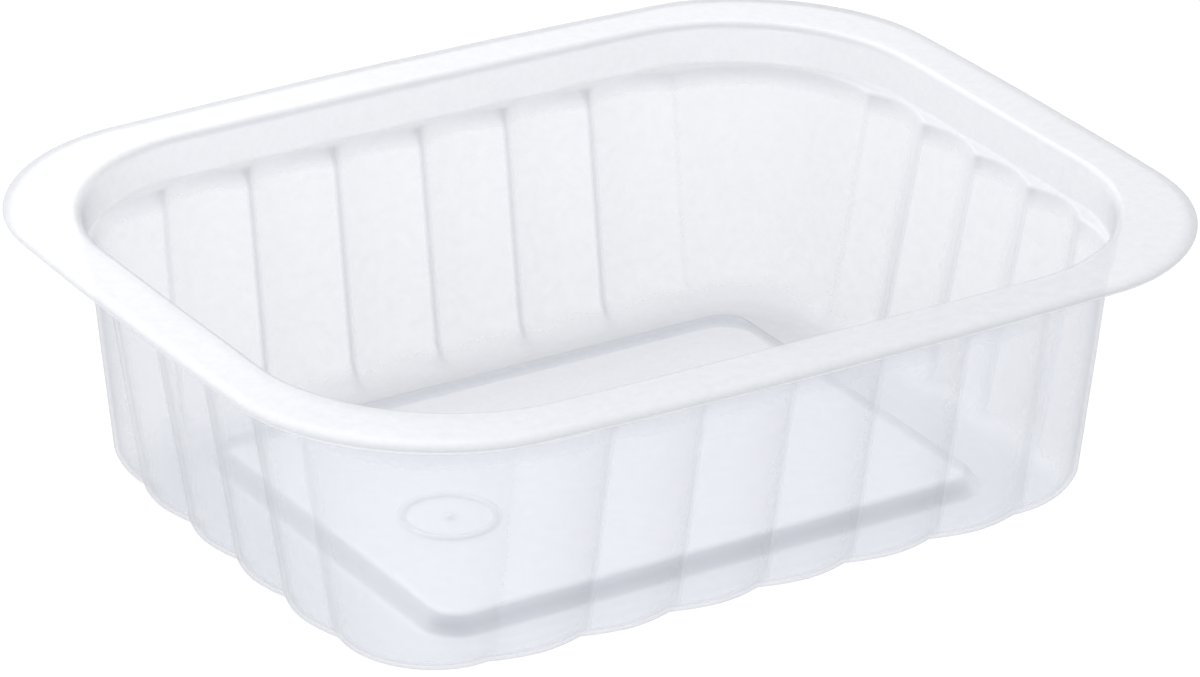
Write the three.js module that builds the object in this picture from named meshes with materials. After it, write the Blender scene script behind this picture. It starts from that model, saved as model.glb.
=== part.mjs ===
// Thermoformed plastic food tray: one sheet drawn into a fluted basin with a wide sealing flange,
// a shelf under the rim, a foot ring and a raised floor panel.
// Millimetres, +Z up, +X along the tray, origin on the table under its middle.
import * as THREE from 'three';

// ---- sheet and heights ----
const SHEET = 0.7;             // thickness of the formed sheet
const TRAY_HEIGHT = 52;        // table to the top of the flange
const SHELF_DEPTH = 7.4;       // rim down to the shelf that the flutes start under
const PANEL_RISE = 3.3;        // floor panel above the foot ring
const EDGE_DROOP = 0.9;        // how far the flange's outer margin curls down
const CURL_MIDDLE_DROOP = 0.14;

// ---- outlines at mid-sheet: half length, half width, corner radius, and how far the middles bow out ----
const FLANGE_EDGE = { halfX: 90.2, halfY: 69.7, corner: 33.4, bowX: 2.3, bowY: 3.5 };
const OPENING = { halfX: 81.7, halfY: 60.7, corner: 34.7, bowX: 0, bowY: 1.0 };
const GROOVES_TOP = { halfX: 78.6, halfY: 58.4, corner: 33, bowX: 0, bowY: 1.0 };
const GROOVES_FOOT = { halfX: 71.7, halfY: 52.6, corner: 20.5, bowX: 0, bowY: 0.5 };
const PANEL_EDGE = { halfX: 53.6, halfY: 38.4, corner: 4.5, bowX: 0, bowY: 0 };
const PANEL_SLOPE_RUN = 2.6;   // plan width of the slope between foot ring and panel

// ---- flange margin: shares of the way from opening to edge ----
const CURL_START = 0.75;
const CURL_MIDDLE = 0.9;

// ---- bends ----
const LIP_RADIUS = 1.5;        // flange into the band below it
const BAND_INSET = 0.4;        // how far the band narrows from lip to shelf
const SHELF_RADIUS = 0.8;      // band into shelf
const SHELF_OVERHANG = 0.2;    // shelf's middle out from the groove line
const SHELF_FLUTE_SHARE = 0.95;
const FLUTE_TOP_DROP = 1.2;    // shelf down to where the flutes reach full depth
const FOOT_RADIUS = 5.5;       // wall into the foot ring
const SLOPE_BEND = 0.5;        // plan width of the bends at both ends of the panel's slope
const SLOPE_BEND_RISE = 0.4;

// ---- which way the sheet's upper side faces, in degrees from straight up towards the inside ----
const CURL_EDGE_LEAN = -50;
const CURL_MIDDLE_LEAN = -20;
const LIP_LEANS = [0, 45, 85];
const BAND_LEAN = 75;
const SHELF_LEAN = 35;
const WALL_LEAN = 80.6;
const FOOT_LEANS = [55, 28, 0];
const SLOPE_LEAN = -45;

// ---- flutes: outward lobes between narrow grooves ----
const LONG_GROOVES = 7;
const LONG_PITCH = 17.6;
const SHORT_GROOVES = 5;
const SHORT_PITCH = 16.05;
const FLUTE_DEPTH_TOP = 2;     // crest of a lobe out from the groove line, under the shelf
const FLUTE_DEPTH_FOOT = 2.5;  // the same where the wall bends into the foot ring
const FLUTE_ROUNDNESS = 2;     // power of the arc across a wall lobe
const CORNER_ROUNDNESS = 2.2;  // the wide corner lobes are a little flatter in the middle

// ---- facets ----
const LOBE_FACETS = 4;
const CORNER_FACETS = 8;
const PANEL_MIDDLE = 0.45;     // share of the panel where its facets are split once more

const LAST_LONG = (LONG_GROOVES - 1) / 2 * LONG_PITCH;
const LAST_SHORT = (SHORT_GROOVES - 1) / 2 * SHORT_PITCH;
const HALF_SHEET = SHEET / 2;
const FLANGE_LEVEL = TRAY_HEIGHT - HALF_SHEET;
const RING_LEVEL = HALF_SHEET;
const SHELF_LEVEL = FLANGE_LEVEL - SHELF_DEPTH;
const degrees = THREE.MathUtils.degToRad;
const mix = THREE.MathUtils.lerp;

// One outline between two others, with a share from 0 (the first) to 1 (the second).
function blend(first, second, share) {
  const outline = {};
  for (const key of Object.keys(first)) outline[key] = mix(first[key], second[key], share);
  return outline;
}

// An outline moved outward all round; a negative distance moves it in.
function grown(outline, distance) {
  return {
    ...outline,
    halfX: outline.halfX + distance,
    halfY: outline.halfY + distance,
    corner: Math.max(outline.corner + distance, 1),
  };
}

// Height of the rounded rectangle's side above a station along it, for one quadrant.
function sideAt(along, halfAlong, halfAcross, corner) {
  const past = Math.max(along - (halfAlong - corner), 0);
  return halfAcross - corner + Math.sqrt(Math.max(corner * corner - past * past, 0));
}

// Points of the corner between the last groove of the long wall and the last one of the short wall.
function cornerPoint(outline, share) {
  const { halfX, halfY, corner } = outline;
  const centreX = halfX - corner;
  const centreY = halfY - corner;
  const straightX = Math.max(centreX - LAST_LONG, 0);
  const straightY = Math.max(centreY - LAST_SHORT, 0);
  const startAngle = Math.acos(Math.max(LAST_LONG - centreX, 0) / corner);
  const endAngle = Math.asin(Math.max(LAST_SHORT - centreY, 0) / corner);
  const arc = corner * (startAngle - endAngle);
  const distance = share * (straightX + arc + straightY);
  if (distance < straightX) return [LAST_LONG + distance, halfY];
  if (distance > straightX + arc) return [halfX, centreY - (distance - straightX - arc)];
  const angle = startAngle - (distance - straightX) / corner;
  return [centreX + corner * Math.cos(angle), centreY + corner * Math.sin(angle)];
}

// Stations of one quadrant, from the middle of the long wall (+Y) to the middle of the short wall (+X).
// Each knows how far across its lobe it lies, from 0 at one groove to 1 at the next.
function quadrantStations() {
  const stations = [];
  const longLobes = (LONG_GROOVES - 1) / 2;
  const shortLobes = (SHORT_GROOVES - 1) / 2;
  for (let i = 0; i < longLobes * LOBE_FACETS; i++) {
    const along = i / LOBE_FACETS;
    stations.push({ wall: 'long', along: along * LONG_PITCH, across: along % 1, power: FLUTE_ROUNDNESS });
  }
  for (let i = 0; i < CORNER_FACETS; i++) {
    const across = i / CORNER_FACETS;
    stations.push({ wall: 'corner', along: across, across, power: CORNER_ROUNDNESS });
  }
  for (let i = shortLobes * LOBE_FACETS; i > 0; i--) {
    const along = i / LOBE_FACETS;
    stations.push({ wall: 'short', along: along * SHORT_PITCH, across: along % 1, power: FLUTE_ROUNDNESS });
  }
  return stations;
}

// A lobe's shape across its width: 0 in the grooves, 1 on the crest.
function lobe(station) {
  return 1 - Math.abs(2 * station.across - 1) ** station.power;
}

function quadrantPoint(outline, station) {
  const { halfX, halfY, corner } = outline;
  let [x, y] = [0, 0];
  if (station.wall === 'long') [x, y] = [station.along, sideAt(station.along, halfX, halfY, corner)];
  if (station.wall === 'short') [x, y] = [sideAt(station.along, halfY, halfX, corner), station.along];
  if (station.wall === 'corner') [x, y] = cornerPoint(outline, station.along);
  const bowedX = x + outline.bowX * (x / halfX) * (1 - (y / halfY) ** 2);
  const bowedY = y + outline.bowY * (y / halfY) * (1 - (x / halfX) ** 2);
  return [bowedX, bowedY];
}

// The whole way round, clockwise seen from above, starting in the middle of the +Y wall.
function ring(outline, stations) {
  const middleOfShort = { wall: 'short', along: 0, across: 0, power: FLUTE_ROUNDNESS };
  const there = stations.map((station) => ({ station, xy: quadrantPoint(outline, station) }));
  const side = { station: middleOfShort, xy: quadrantPoint(outline, middleOfShort) };
  const back = there.slice(1).reverse();
  const turned = (list, signX, signY) =>
    list.map(({ station, xy }) => ({ station, xy: [signX * xy[0], signY * xy[1]] }));
  const first = there[0];
  return [
    ...there, side, ...turned(back, 1, -1),
    ...turned([first], 1, -1), ...turned(there.slice(1), -1, -1),
    ...turned([side], -1, 1), ...turned(back, -1, 1),
  ];
}

// Plan normals that point outward, from each point's two neighbours.
function planNormals(points) {
  const count = points.length;
  return points.map((_, i) => {
    const before = points[(i + count - 1) % count];
    const after = points[(i + 1) % count];
    const along = new THREE.Vector2(after[0] - before[0], after[1] - before[1]).normalize();
    return [-along.y, along.x];
  });
}

// The groove line's outline at a height on the wall.
function grooveOutline(level) {
  const footLevel = RING_LEVEL + FOOT_RADIUS;
  const share = (SHELF_LEVEL - level) / (SHELF_LEVEL - footLevel);
  return blend(GROOVES_TOP, GROOVES_FOOT, share);
}

// The section as rows from the flange's edge to the floor's middle, each with its outline, level, the lean
// of the sheet's upper side and how deep the flutes are there.
function sectionRows() {
  const makeRow = (outline, level, lean = 0, depth = 0) => ({ outline, level, lean, depth, shrink: 1 });
  const rows = [];

  const curlMiddle = FLANGE_LEVEL - CURL_MIDDLE_DROOP;
  rows.push(makeRow(FLANGE_EDGE, FLANGE_LEVEL - EDGE_DROOP, CURL_EDGE_LEAN));
  rows.push(makeRow(blend(OPENING, FLANGE_EDGE, CURL_MIDDLE), curlMiddle, CURL_MIDDLE_LEAN));
  rows.push(makeRow(blend(OPENING, FLANGE_EDGE, CURL_START), FLANGE_LEVEL));

  for (const lean of LIP_LEANS) {
    const outward = LIP_RADIUS * (1 - Math.sin(degrees(lean)));
    const drop = LIP_RADIUS * (1 - Math.cos(degrees(lean)));
    rows.push(makeRow(grown(OPENING, outward), FLANGE_LEVEL - drop, lean));
  }

  const shelfOutline = grown(grooveOutline(SHELF_LEVEL), SHELF_OVERHANG);
  rows.push(makeRow(grown(OPENING, -BAND_INSET), SHELF_LEVEL + SHELF_RADIUS, BAND_LEAN));
  rows.push(makeRow(shelfOutline, SHELF_LEVEL, SHELF_LEAN, FLUTE_DEPTH_TOP * SHELF_FLUTE_SHARE));

  const fluteTop = SHELF_LEVEL - FLUTE_TOP_DROP;
  const footTop = RING_LEVEL + FOOT_RADIUS;
  for (const share of [0, 0.5, 1]) {
    const level = mix(fluteTop, footTop, share);
    const depth = mix(FLUTE_DEPTH_TOP, FLUTE_DEPTH_FOOT, share);
    rows.push(makeRow(grooveOutline(level), level, WALL_LEAN, depth));
  }
  for (const lean of FOOT_LEANS) {
    const inward = FOOT_RADIUS * (1 - Math.sin(degrees(lean)));
    const level = RING_LEVEL + FOOT_RADIUS * (1 - Math.cos(degrees(lean)));
    const depth = FLUTE_DEPTH_FOOT * Math.sqrt(lean / WALL_LEAN);
    rows.push(makeRow(grown(GROOVES_FOOT, -inward), level, lean, depth));
  }

  const panelLevel = RING_LEVEL + PANEL_RISE;
  const slopeFoot = grown(PANEL_EDGE, PANEL_SLOPE_RUN);
  rows.push(makeRow(grown(slopeFoot, SLOPE_BEND), RING_LEVEL));
  rows.push(makeRow(grown(slopeFoot, -SLOPE_BEND), RING_LEVEL + SLOPE_BEND_RISE, SLOPE_LEAN));
  rows.push(makeRow(grown(PANEL_EDGE, SLOPE_BEND), panelLevel - SLOPE_BEND_RISE, SLOPE_LEAN));
  const panel = makeRow(grown(PANEL_EDGE, -SLOPE_BEND), panelLevel);
  rows.push(panel, { ...panel, shrink: PANEL_MIDDLE });
  return rows;
}

// Points of one row on mid-sheet, and the way its upper side faces.
function rowPoints(row, stations) {
  const around = ring(row.outline, stations);
  const bare = around.map(({ xy }) => xy);
  const outward = planNormals(bare);
  const fluted = around.map(({ station, xy }, i) => {
    const reach = row.depth * lobe(station);
    return [
      row.shrink * xy[0] + outward[i][0] * reach,
      row.shrink * xy[1] + outward[i][1] * reach,
    ];
  });
  const flutedOutward = planNormals(fluted);
  const inwardShare = Math.sin(degrees(row.lean));
  const upShare = Math.cos(degrees(row.lean));
  return fluted.map(([x, y], i) => ({
    place: new THREE.Vector3(x, y, row.level),
    faces: new THREE.Vector3(
      -flutedOutward[i][0] * inwardShare, -flutedOutward[i][1] * inwardShare, upShare),
  }));
}

// Both skins of the sheet, closed at the flange's edge and at the middle of the floor.
function trayGeometry() {
  const stations = quadrantStations();
  const rows = sectionRows().map((row) => rowPoints(row, stations));
  const columns = rows[0].length;
  const vertices = [];
  const triangles = [];

  function addSkin(side) {
    const start = vertices.length / 3;
    for (const row of rows) {
      for (const { place, faces } of row) {
        vertices.push(...place.clone().addScaledVector(faces, side * HALF_SHEET));
      }
    }
    const level = rows.at(-1)[0].place.z + side * HALF_SHEET;
    const centre = vertices.length / 3;
    vertices.push(0, 0, level);
    return { start, centre };
  }

  function addQuad(a, b, c, d) {
    triangles.push(a, c, b, a, d, c);
  }

  const upper = addSkin(1);
  const lower = addSkin(-1);
  for (let column = 0; column < columns; column++) {
    const next = (column + 1) % columns;
    for (let row = 0; row + 1 < rows.length; row++) {
      const near = row * columns;
      const far = near + columns;
      addQuad(upper.start + near + column, upper.start + near + next,
        upper.start + far + next, upper.start + far + column);
      addQuad(lower.start + near + next, lower.start + near + column,
        lower.start + far + column, lower.start + far + next);
    }
    const last = (rows.length - 1) * columns;
    triangles.push(upper.start + last + next, upper.start + last + column, upper.centre);
    triangles.push(lower.start + last + column, lower.start + last + next, lower.centre);
    addQuad(upper.start + next, upper.start + column, lower.start + column, lower.start + next);
  }

  const geometry = new THREE.BufferGeometry();
  geometry.setAttribute('position', new THREE.Float32BufferAttribute(vertices, 3));
  geometry.setIndex(triangles);
  geometry.computeVertexNormals();
  return geometry;
}

const formedSheet = new THREE.MeshStandardMaterial({ color: 0xe9ebf1, roughness: 0.22, metalness: 0 });

const tray = new THREE.Mesh(trayGeometry(), formedSheet);
tray.name = 'tray';

const part = new THREE.Group();
part.add(tray);

export default part;
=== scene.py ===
"""Thermoformed food tray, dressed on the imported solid's frame.

The bare sheet is swept round a rounded rectangle. Geometry Nodes push its flutes out and raise the ring on
its floor, and Solidify gives it its thickness. +X along the tray, +Z up, sizes in millimetres until they
are turned to metres in the mesh.
"""
import math
from collections import namedtuple

import bpy
from mathutils import Matrix, Vector
from mathutils.geometry import delaunay_2d_cdt


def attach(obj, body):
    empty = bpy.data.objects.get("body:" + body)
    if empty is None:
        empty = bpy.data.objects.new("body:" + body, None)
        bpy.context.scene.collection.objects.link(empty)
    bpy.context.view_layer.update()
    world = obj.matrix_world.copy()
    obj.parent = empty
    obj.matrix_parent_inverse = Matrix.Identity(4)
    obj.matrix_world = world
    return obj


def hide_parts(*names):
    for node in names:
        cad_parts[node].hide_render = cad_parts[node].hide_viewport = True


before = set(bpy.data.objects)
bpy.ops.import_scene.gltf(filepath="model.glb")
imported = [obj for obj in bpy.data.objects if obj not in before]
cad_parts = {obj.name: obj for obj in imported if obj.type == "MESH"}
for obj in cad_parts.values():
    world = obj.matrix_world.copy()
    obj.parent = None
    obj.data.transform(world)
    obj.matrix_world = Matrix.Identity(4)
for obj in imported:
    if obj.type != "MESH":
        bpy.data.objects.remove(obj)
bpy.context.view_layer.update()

MM = 0.001

# ---- camera: the photograph's view, turned round the middle of the rim ----
VIEW_TURN = -32.94
VIEW_RISE = 25.142
VIEW_ROLL = 1.178
VIEW_DISTANCE = 1119.592
VIEW_ASIDE = -0.182
VIEW_UP = -23.104
LENS = 197.1
SENSOR_WIDTH = 36

# ---- sheet and heights ----
SHEET = 0.7
EDGE_TRIM = 0.12
TRAY_HEIGHT = 52
SHELF_DEPTH = 7.4
PANEL_RISE = 3.3
EDGE_DROOP = 0.9

# ---- outlines at mid-sheet: half length, half width, corner radius, how far the middles bow out ----
Outline = namedtuple("Outline", "half_x half_y corner bow_x bow_y")
FLANGE_EDGE = Outline(90.2, 69.7, 33.4, 2.3, 3.5)
OPENING = Outline(81.7, 60.7, 34.7, 0, 1.0)
GROOVES_TOP = Outline(78.6, 58.4, 33, 0, 1.0)
GROOVES_FOOT = Outline(71.7, 52.6, 20.5, 0, 0.5)
PANEL_EDGE = Outline(53.6, 38.4, 4.5, 0, 0)
PANEL_SLOPE_RUN = 2.6
SLOPE_ROUNDING = 0.5

# ---- the bends' sizes ----
# Shares of the way out from the opening to the flange's edge, where its flat part ends and begins.
CURL_START = 0.75
LIP_START = 0.3
LIP_RADIUS = 1.5
LIP_END_LEAN = 85
BAND_INSET = 0.4
SHELF_RADIUS = 0.8
FLUTE_TOP_DROP = 1.2
FOOT_RADIUS = 5.5
WALL_LEAN = 80.6

# ---- flutes ----
LONG_GROOVES, LONG_PITCH = 7, 17.6
SHORT_GROOVES, SHORT_PITCH = 5, 16.05
FLUTE_DEPTH_TOP = 2
FLUTE_DEPTH_FOOT = 2.5
FLUTE_ROUNDNESS = 2
CORNER_ROUNDNESS = 2.2
GROOVE_ROUNDING = 0.45
LAST_LONG = (LONG_GROOVES - 1) / 2 * LONG_PITCH
LAST_SHORT = (SHORT_GROOVES - 1) / 2 * SHORT_PITCH

# ---- grooves whose painted crease shade is fainter: place in plan, and its strength next to the others ----
FAINTLY_SHADED_GROOVES = ((52.8, 57, 0.15), (77, 32.1, 0.35), (-52.8, -57, 0.2))
FAINT_REACH = 9

# ---- the plain ring and dot raised on the floor panel ----
RING_PLACE = (-34, -7)
RING_RADIUS = 8.2
RING_WIDTH = 1.6
DOT_RADIUS = 1.6
RING_RELIEF = 0.35
RING_FLAT = 0.35  # share of its half width that is flat on top

# ---- the sheet's slow wandering ----
WAVE_LENGTH = 36
WAVE_HEIGHT = 0.35
WAVE_TOP = 0.75  # the noise hardly rises above it
WAVE_FREE = (2, 12)  # levels between which it sets in

# ---- how finely the sheet is cut up ----
LOBE_COLUMNS = 14
CORNER_COLUMNS = 40
CURL_ROWS = 8
FLAT_ROWS = 3
LIP_ROWS = 8
BAND_ROWS = 4
WALL_ROWS = 12
FOOT_ROWS = 10
FOOT_RING_ROWS = (0.35, 0.7)  # shares of the way in from the bend to the panel's slope
# Inside the panel's edge: rings of points of this share of its size, with one point kept of so many.
PANEL_EDGE_RINGS = ((0.975, 3), (0.935, 6), (0.87, 12))
PANEL_MESH = 5
PANEL_MESH_MARGIN = 9
RING_MESH_OUT = 0.3
RING_MESH_ROUND = 0.5

FLANGE_LEVEL = TRAY_HEIGHT - SHEET / 2
FOOT_LEVEL = SHEET / 2
SHELF_LEVEL = FLANGE_LEVEL - SHELF_DEPTH
PANEL_LEVEL = FOOT_LEVEL + PANEL_RISE

# Shares of the way in from band to groove line, and the drop in mm: a tight bend, a flat, a bend down.
SHELF_PROFILE = ((0.03, 0.3), (0.1, 0.58), (0.22, 0.75), (0.45, 0.85), (0.68, 0.95), (0.84, 1.12),
                 (0.95, 1.45), (1, 2.0))
# Shares of the way in from foot ring to panel, and of the rise.
SLOPE_PROFILE = ((0, 0), (0.08, 0.012), (0.17, 0.055), (0.28, 0.14), (0.5, 0.5), (0.72, 0.86),
                 (0.83, 0.945), (0.92, 0.988), (1, 1))


# ---------------------------------------------------------------- the sheet's plan

def mix(first, second, share):
    return first + (second - first) * share


def blend(first, second, share):
    """The outline that lies a share of the way from the first to the second."""
    return Outline(*(mix(a, b, share) for a, b in zip(first, second)))


def grown(outline, distance):
    """The outline moved outward all round, or inward where the distance is negative."""
    return outline._replace(half_x=outline.half_x + distance, half_y=outline.half_y + distance,
                            corner=max(outline.corner + distance, 1))


def side_at(along, half_along, half_across, corner):
    """How far out the side of a rounded rectangle is at a place along it."""
    past = max(along - (half_along - corner), 0)
    return half_across - corner + math.sqrt(max(corner * corner - past * past, 0))


def corner_point(outline, share):
    """(x, y, length of the corner) a share of the way from the long wall's last groove to the short one's."""
    centre_x = outline.half_x - outline.corner
    centre_y = outline.half_y - outline.corner
    straight_x = max(centre_x - LAST_LONG, 0)
    straight_y = max(centre_y - LAST_SHORT, 0)
    start = math.acos(max(LAST_LONG - centre_x, 0) / outline.corner)
    end = math.asin(max(LAST_SHORT - centre_y, 0) / outline.corner)
    arc = outline.corner * (start - end)
    length = straight_x + arc + straight_y
    distance = share * length
    if distance < straight_x:
        return LAST_LONG + distance, outline.half_y, length
    if distance > straight_x + arc:
        return outline.half_x, centre_y - (distance - straight_x - arc), length
    angle = start - (distance - straight_x) / outline.corner
    return (centre_x + outline.corner * math.cos(angle), centre_y + outline.corner * math.sin(angle),
            length)


def lobe_shares(columns):
    """Places across a lobe, closer together at its grooves."""
    return [(1 - math.cos(math.pi * i / columns)) / 2 for i in range(columns)]


Station = namedtuple("Station", "wall along across power")


def quadrant_stations():
    """Stations from the middle of the long wall to the middle of the short one."""
    stations = []
    for lobe in range((LONG_GROOVES - 1) // 2):
        stations += [Station("long", (lobe + share) * LONG_PITCH, share, FLUTE_ROUNDNESS)
                     for share in lobe_shares(LOBE_COLUMNS)]
    stations += [Station("corner", share, share, CORNER_ROUNDNESS) for share in lobe_shares(CORNER_COLUMNS)]
    for lobe in reversed(range((SHORT_GROOVES - 1) // 2)):
        stations += [Station("short", (lobe + 1 - share) * SHORT_PITCH, share, FLUTE_ROUNDNESS)
                     for share in lobe_shares(LOBE_COLUMNS)]
    return stations + [Station("short", 0, 0, FLUTE_ROUNDNESS)]


PlanPoint = namedtuple("PlanPoint", "x y across width power")


def quadrant_point(outline, station):
    """Where a station lies on an outline, with the width of its lobe there."""
    if station.wall == "long":
        x, y = station.along, side_at(station.along, outline.half_x, outline.half_y, outline.corner)
        width = LONG_PITCH
    elif station.wall == "short":
        x, y = side_at(station.along, outline.half_y, outline.half_x, outline.corner), station.along
        width = SHORT_PITCH
    else:
        x, y, width = corner_point(outline, station.along)
    bowed_x = x + outline.bow_x * (x / outline.half_x) * (1 - (y / outline.half_y) ** 2)
    bowed_y = y + outline.bow_y * (y / outline.half_y) * (1 - (x / outline.half_x) ** 2)
    return PlanPoint(bowed_x, bowed_y, station.across, width, station.power)


def around(outline, stations):
    """The outline all the way round, clockwise from above, from the middle of the +Y wall."""
    first = [quadrant_point(outline, station) for station in stations]
    second = [p._replace(y=-p.y) for p in reversed(first[:-1])]
    third = [p._replace(x=-p.x, y=-p.y) for p in first[1:]]
    fourth = [p._replace(x=-p.x) for p in reversed(first[1:-1])]
    return first + second + third + fourth


def crease_shade_share(point):
    """How strong the painted crease shade of the groove near a plan point is, from 0 to 1."""
    for x, y, sharp in FAINTLY_SHADED_GROOVES:
        if math.dist((x, y), (point.x, point.y)) < FAINT_REACH:
            return sharp
    return 1


def outward_ways(points):
    """Plan directions that point out of the tray, from each point's two neighbours."""
    ways = []
    for i, point in enumerate(points):
        before, after = points[i - 1], points[(i + 1) % len(points)]
        ways.append(Vector((before.y - after.y, after.x - before.x, 0)).normalized())
    return ways


# ---------------------------------------------------------------- the sheet's section

# How milky each skin of the sheet is, from 0 (clear) to 1: the forming stretches the walls thin and clear.
# The material also paints thinner sheet a darker, bluer grey, which is painted shade.
FLANGE_MILK = 0.55
BAND_MILK = 0.4
WALL_MILK = 0.27
PANEL_MILK = 0.38
SLOPE_MILK = 0.15

# How much painted grey shade each bend gets, from 0 (none) to 1, for the dark refraction of a bent clear
# sheet;
# the flat foot ring next to the panel's slope gets it too.
CURL_BEND_SHADE = 0.5
LIP_BEND_SHADE = 0.25
SHELF_BEND_SHADE = 0.28
FOOT_BEND_SHADE = 0.4
GROOVE_BEND_SHADE = 0.31
RING_BEND_SHADE = 0.8

# Distances from a groove over which the painted shade of its crease fades out, and that of its hook at the
# shelf.
CREASE_FADE = (0.1, 0.8)
HOOK_FADE = (0.5, 2.2)

Row = namedtuple("Row", "outline level reach milk bend", defaults=(0,))


def groove_outline(level):
    share = (SHELF_LEVEL - level) / (SHELF_LEVEL - FOOT_LEVEL - FOOT_RADIUS)
    return blend(GROOVES_TOP, GROOVES_FOOT, share)


def section_rows():
    """Rows from the flange's edge to the floor panel's edge: outline, level, how far the flutes reach out
    there, how milky the sheet is and how much painted grey shade its bends get, from 0 (none) to 1."""
    rows = []
    for i in range(CURL_ROWS + 1):
        share = mix(1, CURL_START, i / CURL_ROWS)
        curl = ((share - CURL_START) / (1 - CURL_START)) ** 3
        rows.append(Row(blend(OPENING, FLANGE_EDGE, share), FLANGE_LEVEL - EDGE_DROOP * curl, 0,
                        FLANGE_MILK, CURL_BEND_SHADE * curl))
    for i in range(1, FLAT_ROWS + 1):
        outline = blend(OPENING, FLANGE_EDGE, mix(CURL_START, LIP_START, i / FLAT_ROWS))
        rows.append(Row(outline, FLANGE_LEVEL, 0, FLANGE_MILK))
    for i in range(LIP_ROWS + 1):
        share = i / LIP_ROWS
        lean = math.radians(LIP_END_LEAN * share)
        outward = LIP_RADIUS * (1 - math.sin(lean))
        drop = LIP_RADIUS * (1 - math.cos(lean))
        rows.append(Row(grown(OPENING, outward), FLANGE_LEVEL - drop, 0,
                        mix(FLANGE_MILK, BAND_MILK, share), LIP_BEND_SHADE * math.sin(math.pi * share)))

    band_foot = SHELF_LEVEL + SHELF_RADIUS
    lip_foot = rows[-1]
    for i in range(1, BAND_ROWS + 1):
        share = i / BAND_ROWS
        outline = blend(lip_foot.outline, grown(OPENING, -BAND_INSET), share)
        rows.append(Row(outline, mix(lip_foot.level, band_foot, share), 0, BAND_MILK))
    flute_top = SHELF_LEVEL - FLUTE_TOP_DROP
    for share, drop in SHELF_PROFILE:
        outline = blend(grown(OPENING, -BAND_INSET), groove_outline(flute_top), share)
        rows.append(Row(outline, band_foot - drop, FLUTE_DEPTH_TOP * share, mix(BAND_MILK, WALL_MILK, share),
                        SHELF_BEND_SHADE * share))

    foot_top = FOOT_LEVEL + FOOT_RADIUS
    for i in range(1, WALL_ROWS + 1):
        share = i / WALL_ROWS
        level = mix(flute_top, foot_top, share)
        depth = mix(FLUTE_DEPTH_TOP, FLUTE_DEPTH_FOOT, share)
        rows.append(Row(groove_outline(level), level, depth, WALL_MILK))
    for i in range(FOOT_ROWS + 1):
        share = i / FOOT_ROWS
        lean = math.radians(WALL_LEAN * (1 - share))
        inward = FOOT_RADIUS * (1 - math.sin(lean))
        level = FOOT_LEVEL + FOOT_RADIUS * (1 - math.cos(lean))
        rows.append(Row(grown(GROOVES_FOOT, -inward), level, FLUTE_DEPTH_FOOT * math.sqrt(1 - share),
                        WALL_MILK, FOOT_BEND_SHADE * share ** 2))

    slope_foot = grown(PANEL_EDGE, PANEL_SLOPE_RUN + SLOPE_ROUNDING)
    slope_top = grown(PANEL_EDGE, -SLOPE_ROUNDING)
    for share in FOOT_RING_ROWS:
        rows.append(Row(blend(grown(GROOVES_FOOT, -FOOT_RADIUS), slope_foot, share), FOOT_LEVEL, 0,
                        PANEL_MILK, FOOT_BEND_SHADE))
    for share, rise in SLOPE_PROFILE:
        rows.append(Row(blend(slope_foot, slope_top, share), mix(FOOT_LEVEL, PANEL_LEVEL, rise), 0,
                        mix(PANEL_MILK, SLOPE_MILK, math.sin(math.pi * share)),
                        max(math.sin(math.pi * share), FOOT_BEND_SHADE * (1 - share))))
    return rows


def panel_points(edge, stations):
    """Points inside the floor panel: sparse towards its edge, close together round the raised ring."""
    points = []
    for share, step in PANEL_EDGE_RINGS:
        points += [(share * p.x, share * p.y) for p in around(edge, stations)[::step]]
    fine_reach = RING_RADIUS + RING_WIDTH + 1
    radius = RING_MESH_OUT
    while radius < fine_reach:
        count = max(8, min(96, round(2 * math.pi * radius / RING_MESH_ROUND)))
        points += [(RING_PLACE[0] + radius * math.cos(2 * math.pi * i / count),
                    RING_PLACE[1] + radius * math.sin(2 * math.pi * i / count)) for i in range(count)]
        radius += RING_MESH_OUT
    half_count = math.ceil(edge.half_x / PANEL_MESH)
    for i in range(-half_count, half_count + 1):
        for j in range(-half_count, half_count + 1):
            x, y = PANEL_MESH * (i + 0.5 * (j % 2)), PANEL_MESH * j * math.sqrt(0.75)
            inside = (abs(x) < edge.half_x - PANEL_MESH_MARGIN and
                      abs(y) < edge.half_y - PANEL_MESH_MARGIN)
            if inside and math.dist((x, y), RING_PLACE) > fine_reach + 1.5:
                points.append((x, y))
    return points


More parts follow.
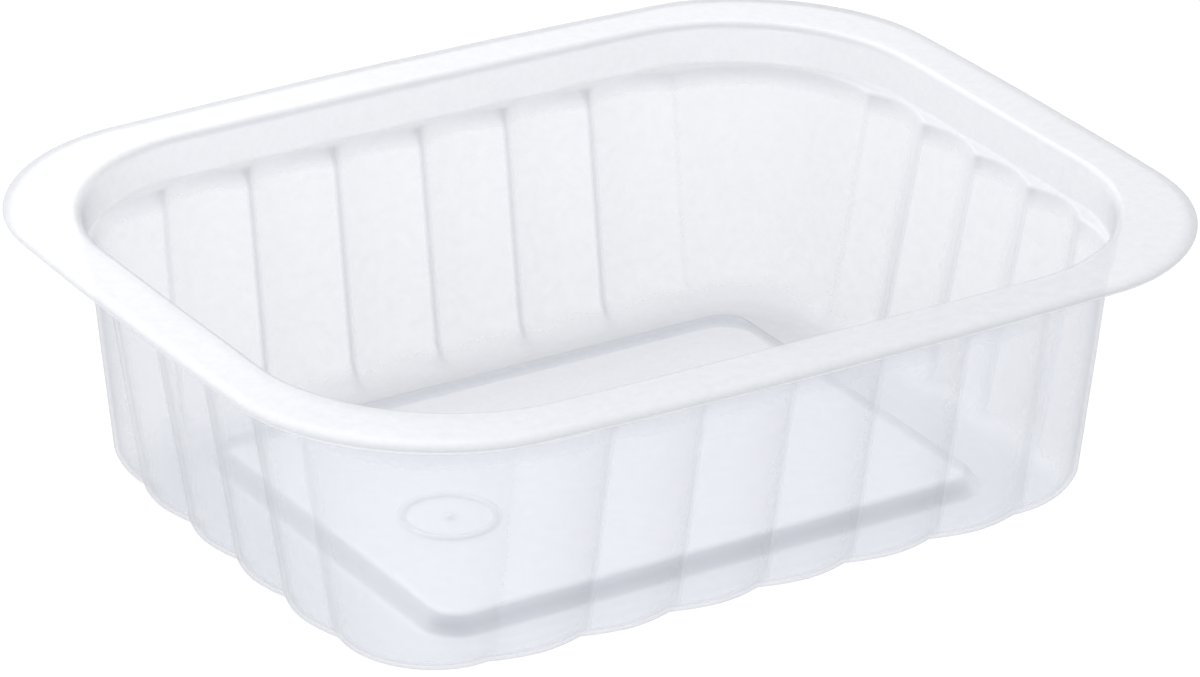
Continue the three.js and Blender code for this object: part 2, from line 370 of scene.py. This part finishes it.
def bare_sheet():
    """The mid-surface of the sheet without its flutes, with what the node tree needs kept on its points."""
    stations = quadrant_stations()
    rows = section_rows()
    places, ways, facts = [], [], []
    for row in rows:
        loop = around(row.outline, stations)
        ways += outward_ways(loop)
        places += [(p.x * MM, p.y * MM, row.level * MM) for p in loop]
        facts += [(p.across, p.width * MM, p.power, row.reach * MM, row.milk, row.bend, crease_shade_share(p))
                  for p in loop]
    columns = len(loop)

    faces = []
    for r in range(len(rows) - 1):
        for c in range(columns):
            near, nxt = r * columns + c, r * columns + (c + 1) % columns
            faces.append((near, near + columns, nxt + columns, nxt))

    last = (len(rows) - 1) * columns
    loop_xy = [(p.x, p.y) for p in loop]
    inner = panel_points(rows[-1].outline, stations)
    verts, _, triangles, sources, _, _ = delaunay_2d_cdt(
        [Vector(p) for p in loop_xy + inner], [(i, (i + 1) % columns) for i in range(columns)], [], 1, 1e-5)
    index = {}
    for i, source in enumerate(sources):
        if source and min(source) < columns:
            index[i] = last + min(source)
        else:
            index[i] = len(places)
            places.append((verts[i].x * MM, verts[i].y * MM, rows[-1].level * MM))
            ways.append(Vector((0, 0, 0)))
            facts.append((0, LONG_PITCH * MM, FLUTE_ROUNDNESS, 0, PANEL_MILK, 0, 1))
    faces += [tuple(index[i] for i in triangle) for triangle in triangles]

    mesh = bpy.data.meshes.new("tray_sheet")
    mesh.from_pydata(places, [], faces)
    mesh.attributes.new("outward", "FLOAT_VECTOR", "POINT").data.foreach_set(
        "vector", [number for way in ways for number in way])
    for k, name in enumerate(("across", "lobe_width", "crest_power", "flute_reach", "milk", "bend",
                             "crease_shade_share")):
        mesh.attributes.new(name, "FLOAT", "POINT").data.foreach_set("value", [fact[k] for fact in facts])
    mesh.update()
    return mesh


# ---------------------------------------------------------------- nodes

def add_node(tree, kind, inputs=(), **settings):
    """Adds a node with its settings. Its inputs come by name in a dict or else in order, and each is a value,
    another node's output, or another node, which stands for its first output."""
    node = tree.nodes.new(kind)
    for name, value in settings.items():
        setattr(node, name, value)
    for key, value in (inputs if isinstance(inputs, dict) else dict(enumerate(inputs))).items():
        source = value.outputs[0] if isinstance(value, bpy.types.Node) else value
        if isinstance(source, bpy.types.NodeSocket):
            tree.links.new(source, node.inputs[key])
        else:
            node.inputs[key].default_value = source
    return node


def linear(hex_colour):
    """A linear RGBA colour from an sRGB hex value."""
    channels = [int(hex_colour[i:i + 2], 16) / 255 for i in (1, 3, 5)]
    return [c / 12.92 if c <= 0.04045 else ((c + 0.055) / 1.055) ** 2.4 for c in channels] + [1]


def forming_tree():
    """Geometry Nodes that push the flutes out of the bare sheet, raise the ring on its floor and let it
    wander a little, as a thin formed sheet does."""
    tree = bpy.data.node_groups.new("form_tray", "GeometryNodeTree")
    tree.interface.new_socket("Sheet", in_out="INPUT", socket_type="NodeSocketGeometry")
    for name in ("Groove rounding", "Ring radius", "Ring width", "Dot radius", "Ring relief", "Waviness"):
        tree.interface.new_socket(name, in_out="INPUT", socket_type="NodeSocketFloat")
    tree.interface.new_socket("Ring place", in_out="INPUT", socket_type="NodeSocketVector")
    tree.interface.new_socket("Finish", in_out="INPUT", socket_type="NodeSocketMaterial")
    tree.interface.new_socket("Tray", in_out="OUTPUT", socket_type="NodeSocketGeometry")
    given = add_node(tree, "NodeGroupInput").outputs

    kept = {name: add_node(tree, "GeometryNodeInputNamedAttribute", {"Name": name},
                           data_type="FLOAT").outputs["Attribute"]
            for name in ("across", "lobe_width", "crest_power", "flute_reach", "bend", "crease_shade_share")}
    outward = add_node(tree, "GeometryNodeInputNamedAttribute", {"Name": "outward"},
                       data_type="FLOAT_VECTOR").outputs["Attribute"]

    # Distance from the nearer groove, from the place across the lobe.
    off_middle = add_node(tree, "ShaderNodeMath", (kept["across"], 2, -1), operation="MULTIPLY_ADD")
    off_crest = add_node(tree, "ShaderNodeMath", (off_middle,), operation="ABSOLUTE")
    off_groove = add_node(tree, "ShaderNodeMath", (1, off_crest), operation="SUBTRACT")
    half_width = add_node(tree, "ShaderNodeMath", (kept["lobe_width"], 0.5), operation="MULTIPLY")
    from_groove = add_node(tree, "ShaderNodeMath", (off_groove, half_width), operation="MULTIPLY")

    # The flute bulges from groove to crest. The distance is eased, so that the groove's bottom is round.
    rounding = given["Groove rounding"]
    distance_squared = add_node(tree, "ShaderNodeMath", (from_groove, from_groove), operation="MULTIPLY")
    rounding_squared = add_node(tree, "ShaderNodeMath", (rounding, rounding), operation="MULTIPLY")
    both_squared = add_node(tree, "ShaderNodeMath", (distance_squared, rounding_squared), operation="ADD")
    slanted = add_node(tree, "ShaderNodeMath", (both_squared,), operation="SQRT")
    eased = add_node(tree, "ShaderNodeMath", (slanted, rounding), operation="SUBTRACT")
    eased_share = add_node(tree, "ShaderNodeMath", (eased, half_width), operation="DIVIDE")
    below_crest = add_node(tree, "ShaderNodeMath", (1, eased_share), operation="SUBTRACT")
    fallen = add_node(tree, "ShaderNodeMath", (below_crest, kept["crest_power"]), operation="POWER")
    crest = add_node(tree, "ShaderNodeMath", (1, fallen), operation="SUBTRACT")
    reach = add_node(tree, "ShaderNodeMath", (crest, kept["flute_reach"]), operation="MULTIPLY")
    push = add_node(tree, "ShaderNodeVectorMath", {0: outward, "Scale": reach}, operation="SCALE")

    # Painted grey shade in the grooves' creases, for the dark refraction of the bent sheet, as far as there
    # are flutes.
    creased, near_groove = (
        add_node(tree, "ShaderNodeMapRange", {"Value": from_groove, "From Min": start * MM,
                                              "From Max": end * MM, "To Min": 1, "To Max": 0},
                 interpolation_type="SMOOTHSTEP")
        for start, end in (CREASE_FADE, HOOK_FADE))
    crease_shade = add_node(tree, "ShaderNodeMath", (kept["crease_shade_share"], GROOVE_BEND_SHADE), operation="MULTIPLY")
    grooved = add_node(tree, "ShaderNodeMapRange", {
        "Value": kept["flute_reach"], "From Max": FLUTE_DEPTH_TOP * MM, "To Max": crease_shade})
    groove_shade = add_node(tree, "ShaderNodeMath", (creased, grooved), operation="MULTIPLY")
    # Where a groove runs out at the shelf, the sheet is bent both ways, and the painted shade is made
    # stronger there.
    hook = add_node(tree, "ShaderNodeMath", (near_groove, grooved), operation="MULTIPLY")
    hooked = add_node(tree, "ShaderNodeMath", (hook, 2, 1), operation="MULTIPLY_ADD")
    section_shade = add_node(tree, "ShaderNodeMath", (kept["bend"], hooked), operation="MULTIPLY")
    bend = add_node(tree, "ShaderNodeMath", (section_shade, groove_shade), operation="MAXIMUM")

    # The raised ring and its dot, from the distance to the ring's middle in plan.
    place = add_node(tree, "GeometryNodeInputPosition")
    flat = add_node(tree, "ShaderNodeVectorMath", (place, (1, 1, 0)), operation="MULTIPLY")
    away = add_node(tree, "ShaderNodeVectorMath", (flat, given["Ring place"]),
                    operation="DISTANCE").outputs["Value"]
    past_ring = add_node(tree, "ShaderNodeMath", (away, given["Ring radius"]), operation="SUBTRACT")
    off_ring = add_node(tree, "ShaderNodeMath", (past_ring,), operation="ABSOLUTE")
    heights = []
    for distance, width in ((off_ring, given["Ring width"]), (away, given["Dot radius"])):
        flat_top = add_node(tree, "ShaderNodeMath", (width, RING_FLAT), operation="MULTIPLY")
        heights.append(add_node(tree, "ShaderNodeMapRange", {
            "Value": distance, "From Min": flat_top, "From Max": width, "To Min": 1, "To Max": 0},
            interpolation_type="SMOOTHSTEP"))
    raised = add_node(tree, "ShaderNodeMath", heights, operation="MAXIMUM")
    relief = add_node(tree, "ShaderNodeMath", (raised, given["Ring relief"]), operation="MULTIPLY")
    lift = add_node(tree, "ShaderNodeCombineXYZ", {"Z": relief})
    # The raised ring and its dot get painted grey shade too.
    all_bend_shades = add_node(tree, "ShaderNodeMath", (raised, RING_BEND_SHADE, bend), operation="MULTIPLY_ADD")

    # Slow wandering of the sheet, inward only, so that it stays in its solid's box, and none at the foot.
    height = add_node(tree, "ShaderNodeSeparateXYZ", (place,)).outputs["Z"]
    free = add_node(tree, "ShaderNodeMapRange", {
        "Value": height, "From Min": WAVE_FREE[0] * MM, "From Max": WAVE_FREE[1] * MM})
    noise = add_node(tree, "ShaderNodeTexNoise", {
        "Vector": place, "Scale": 1 / (WAVE_LENGTH * MM), "Detail": 1})
    inward = add_node(tree, "ShaderNodeMath", (noise, WAVE_TOP), operation="SUBTRACT")
    full_amount = add_node(tree, "ShaderNodeMath", (inward, given["Waviness"]), operation="MULTIPLY")
    amount = add_node(tree, "ShaderNodeMath", (full_amount, free), operation="MULTIPLY")
    facing = add_node(tree, "GeometryNodeInputNormal").outputs[0]
    wander = add_node(tree, "ShaderNodeVectorMath", {0: facing, "Scale": amount}, operation="SCALE")

    shaped = add_node(tree, "GeometryNodeStoreNamedAttribute", {
        "Geometry": given["Sheet"], "Name": "bend", "Value": all_bend_shades}, data_type="FLOAT", domain="POINT")
    for offset in (push, lift, wander):
        shaped = add_node(tree, "GeometryNodeSetPosition", {"Geometry": shaped, "Offset": offset})
    real = add_node(tree, "GeometryNodeRealizeInstances", {"Geometry": shaped})
    finished = add_node(tree, "GeometryNodeSetMaterial", {"Geometry": real, "Material": given["Finish"]})
    add_node(tree, "NodeGroupOutput", {"Tray": finished})
    return tree


# Sizes of the sheet's cloudy patches and of the orange peel of its skin, which is drawn coarser than the real
# one so that it shows.
CLOUD_SIZE = 2.5
PEEL_SIZE = 1.2
PEEL_DEPTH = 0.05
# How narrow the zone is that is seen edge on, how much painted grey shade the sheet gets there, and how much
# less clear a grey place is.
EDGE_NARROWNESS = 13
EDGE_GREY = 0.45
GREY_OPACITY = 0.75


def natural_polypropylene_thermoformed():
    """Natural polypropylene sheet, thermoformed: milky and see-through, whiter where it was stretched least,
    with a soft gloss, faint cloudiness a few millimetres across and the mould's fine orange peel. Thin sheet,
    bends and places seen edge on are painted darker grey, as painted shade."""
    material = bpy.data.materials.new("natural_polypropylene_thermoformed")
    material.use_nodes = True
    tree = material.node_tree
    tree.nodes.clear()
    place = add_node(tree, "ShaderNodeTexCoord").outputs["Object"]
    milk = add_node(tree, "ShaderNodeAttribute", attribute_name="milk").outputs["Fac"]
    bend = add_node(tree, "ShaderNodeAttribute", attribute_name="bend").outputs["Fac"]

    cloud = add_node(tree, "ShaderNodeTexNoise", {
        "Vector": place, "Scale": 1 / (CLOUD_SIZE * MM), "Detail": 2, "Roughness": 0.6})
    cloudy = add_node(tree, "ShaderNodeMapRange", {
        "Value": cloud, "From Min": 0.3, "From Max": 0.7, "To Min": 0.95, "To Max": 1.05})
    clouded = add_node(tree, "ShaderNodeMath", (milk, cloudy), operation="MULTIPLY")
    # A tight bend seen face on is a weak lens that looks grey: that grey is painted shade in the colour, and
    # it also makes the sheet less clear.
    slant = add_node(tree, "ShaderNodeLayerWeight", {"Blend": 0.75}).outputs["Facing"]
    face_on = add_node(tree, "ShaderNodeMath", (1, slant), operation="SUBTRACT")
    lens = add_node(tree, "ShaderNodeMath", (bend, face_on), operation="MULTIPLY")
    # Seen edge on, the sheet is looked through lengthwise and is less clear; its greyer colour there is
    # painted shade.
    edge_on = add_node(tree, "ShaderNodeMath", (slant, EDGE_NARROWNESS), operation="POWER")
    grey = add_node(tree, "ShaderNodeMath", (edge_on, EDGE_GREY, lens), operation="MULTIPLY_ADD")
    opacity = add_node(tree, "ShaderNodeMath", (grey, GREY_OPACITY, clouded), operation="MULTIPLY_ADD",
                       use_clamp=True)

    gloss = add_node(tree, "ShaderNodeMapRange", {"Value": cloud, "To Min": 0.3, "To Max": 0.37})
    peel = add_node(tree, "ShaderNodeTexNoise", {
        "Vector": place, "Scale": 1 / (PEEL_SIZE * MM), "Detail": 1})
    skin = add_node(tree, "ShaderNodeBump", {
        "Height": peel, "Strength": 0.04, "Distance": PEEL_DEPTH * MM})
    # Thick sheet is its own milky white; thin sheet gets a darker, bluer grey, painted shade of the room seen
    # through it; bends and places seen edge on get a painted grey shade.
    thick = add_node(tree, "ShaderNodeMapRange", {
        "Value": milk, "From Min": WALL_MILK, "From Max": FLANGE_MILK})
    milky_and_shaded = add_node(tree, "ShaderNodeMix", {"Factor": thick, "A": linear("#DFE2E9"), "B": linear("#F4F6F9")},
                     data_type="RGBA").outputs["Result"]
    greyed = add_node(tree, "ShaderNodeMix", {"Factor": grey, "A": milky_and_shaded, "B": linear("#989BA2")},
                      data_type="RGBA").outputs["Result"]
    shader = add_node(tree, "ShaderNodeBsdfPrincipled", {
        "Base Color": greyed, "Roughness": gloss, "IOR": 1.49, "Alpha": opacity, "Normal": skin})
    add_node(tree, "ShaderNodeOutputMaterial", {"Surface": shader})
    return material


def lit_white_acrylic():
    """Opal acrylic of a photographer's light table: matt white and softly lit from underneath."""
    material = bpy.data.materials.new("lit_white_acrylic")
    material.use_nodes = True
    shader = material.node_tree.nodes["Principled BSDF"]
    shader.inputs["Base Color"].default_value = linear("#808080")
    shader.inputs["Roughness"].default_value = 0.9
    shader.inputs["Emission Color"].default_value = linear("#FFFFFF")
    shader.inputs["Emission Strength"].default_value = 0.82
    return material


# ---------------------------------------------------------------- the tray

def make_tray():
    """Forms the bare sheet, gives it its thickness and takes the result as a plain mesh."""
    bare = bpy.data.objects.new("tray_forming", bare_sheet())
    bpy.context.collection.objects.link(bare)
    forming = bare.modifiers.new("form", "NODES")
    forming.node_group = forming_tree()
    finish = natural_polypropylene_thermoformed()
    sizes = {
        "Groove rounding": GROOVE_ROUNDING * MM, "Ring radius": RING_RADIUS * MM,
        "Ring width": RING_WIDTH / 2 * MM, "Dot radius": DOT_RADIUS * MM, "Ring relief": RING_RELIEF * MM,
        "Waviness": WAVE_HEIGHT * MM, "Finish": finish,
        "Ring place": (RING_PLACE[0] * MM, RING_PLACE[1] * MM, 0),
    }
    for socket in forming.node_group.interface.items_tree:
        if socket.name in sizes:
            forming[socket.identifier] = sizes[socket.name]
    thickness = bare.modifiers.new("sheet", "SOLIDIFY")
    thickness.thickness = SHEET * MM
    thickness.offset = 0
    thickness.use_even_offset = True
    thickness.use_quality_normals = True
    trimmed = bare.modifiers.new("trimmed_edge", "BEVEL")
    trimmed.width = EDGE_TRIM * MM
    trimmed.segments = 2
    trimmed.limit_method = "ANGLE"
    trimmed.angle_limit = math.radians(70)

    evaluated = bare.evaluated_get(bpy.context.evaluated_depsgraph_get())
    mesh = bpy.data.meshes.new_from_object(evaluated)
    mesh.name = "formed_tray"
    mesh.polygons.foreach_set("use_smooth", [True] * len(mesh.polygons))
    bpy.data.objects.remove(bare)
    tray = bpy.data.objects.new("formed_tray", mesh)
    bpy.context.collection.objects.link(tray)
    return tray


tray = make_tray()
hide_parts("tray")
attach(tray, "root")

# ---------------------------------------------------------------- camera, floor and light

turn, rise, roll = (math.radians(angle) for angle in (VIEW_TURN, VIEW_RISE, VIEW_ROLL))
back = Vector((math.sin(turn) * math.cos(rise), -math.cos(turn) * math.cos(rise), math.sin(rise)))
level_right = Vector((math.cos(turn), math.sin(turn), 0))
level_up = back.cross(level_right)
right = level_right * math.cos(roll) + level_up * math.sin(roll)
up = level_up * math.cos(roll) - level_right * math.sin(roll)
rim_middle = Vector((0, 0, TRAY_HEIGHT))
stand = (rim_middle + back * VIEW_DISTANCE + right * VIEW_ASIDE + up * VIEW_UP) * MM

camera_data = bpy.data.cameras.new("camera")
camera_data.sensor_fit = "HORIZONTAL"
camera_data.sensor_width = SENSOR_WIDTH
camera_data.lens = LENS
camera = bpy.data.objects.new("camera", camera_data)
camera.matrix_world = Matrix.Translation(stand) @ Matrix((right, up, back)).transposed().to_4x4()
bpy.context.collection.objects.link(camera)
bpy.context.scene.camera = camera

FLOOR_REACH = 4
FLOOR_GAP = 0.00005
floor_mesh = bpy.data.meshes.new("floor")
floor_corners = [(x * FLOOR_REACH, y * FLOOR_REACH, -FLOOR_GAP)
                 for x, y in ((-1, -1), (1, -1), (1, 1), (-1, 1))]
floor_mesh.from_pydata(floor_corners, [], [(0, 1, 2, 3)])
floor_mesh.materials.append(lit_white_acrylic())
floor = bpy.data.objects.new("floor", floor_mesh)
bpy.context.collection.objects.link(floor)


def soft_light(name, place, size, power, aim=(0, 0, 0.03)):
    """A square softbox that faces the tray."""
    data = bpy.data.lights.new(name, "AREA")
    data.shape = "SQUARE"
    data.size = size
    data.energy = power
    light = bpy.data.objects.new(name, data)
    light.location = place
    light.rotation_euler = (Vector(aim) - Vector(place)).to_track_quat("-Z", "Y").to_euler()
    bpy.context.collection.objects.link(light)
    return light


soft_light("back_softbox", (0.02, 0.45, 0.5), 0.5, 2.65)
soft_light("front_softbox", (-0.35, -1.3, 0.7), 0.9, 4.4)
soft_light("low_left_softbox", (-0.42, -0.3, 0.12), 0.2, 0.57)

world = bpy.data.worlds.new("studio")
world.use_nodes = True
world.node_tree.nodes["Background"].inputs["Color"].default_value = linear("#FAFAFC")
world.node_tree.nodes["Background"].inputs["Strength"].default_value = 0.63
bpy.context.scene.world = world
bpy.context.scene.view_settings.view_transform = "Standard"
light_paths = bpy.context.scene.cycles
light_paths.max_bounces = 4
light_paths.diffuse_bounces = 2
light_paths.glossy_bounces = 2
light_paths.transparent_max_bounces = 24
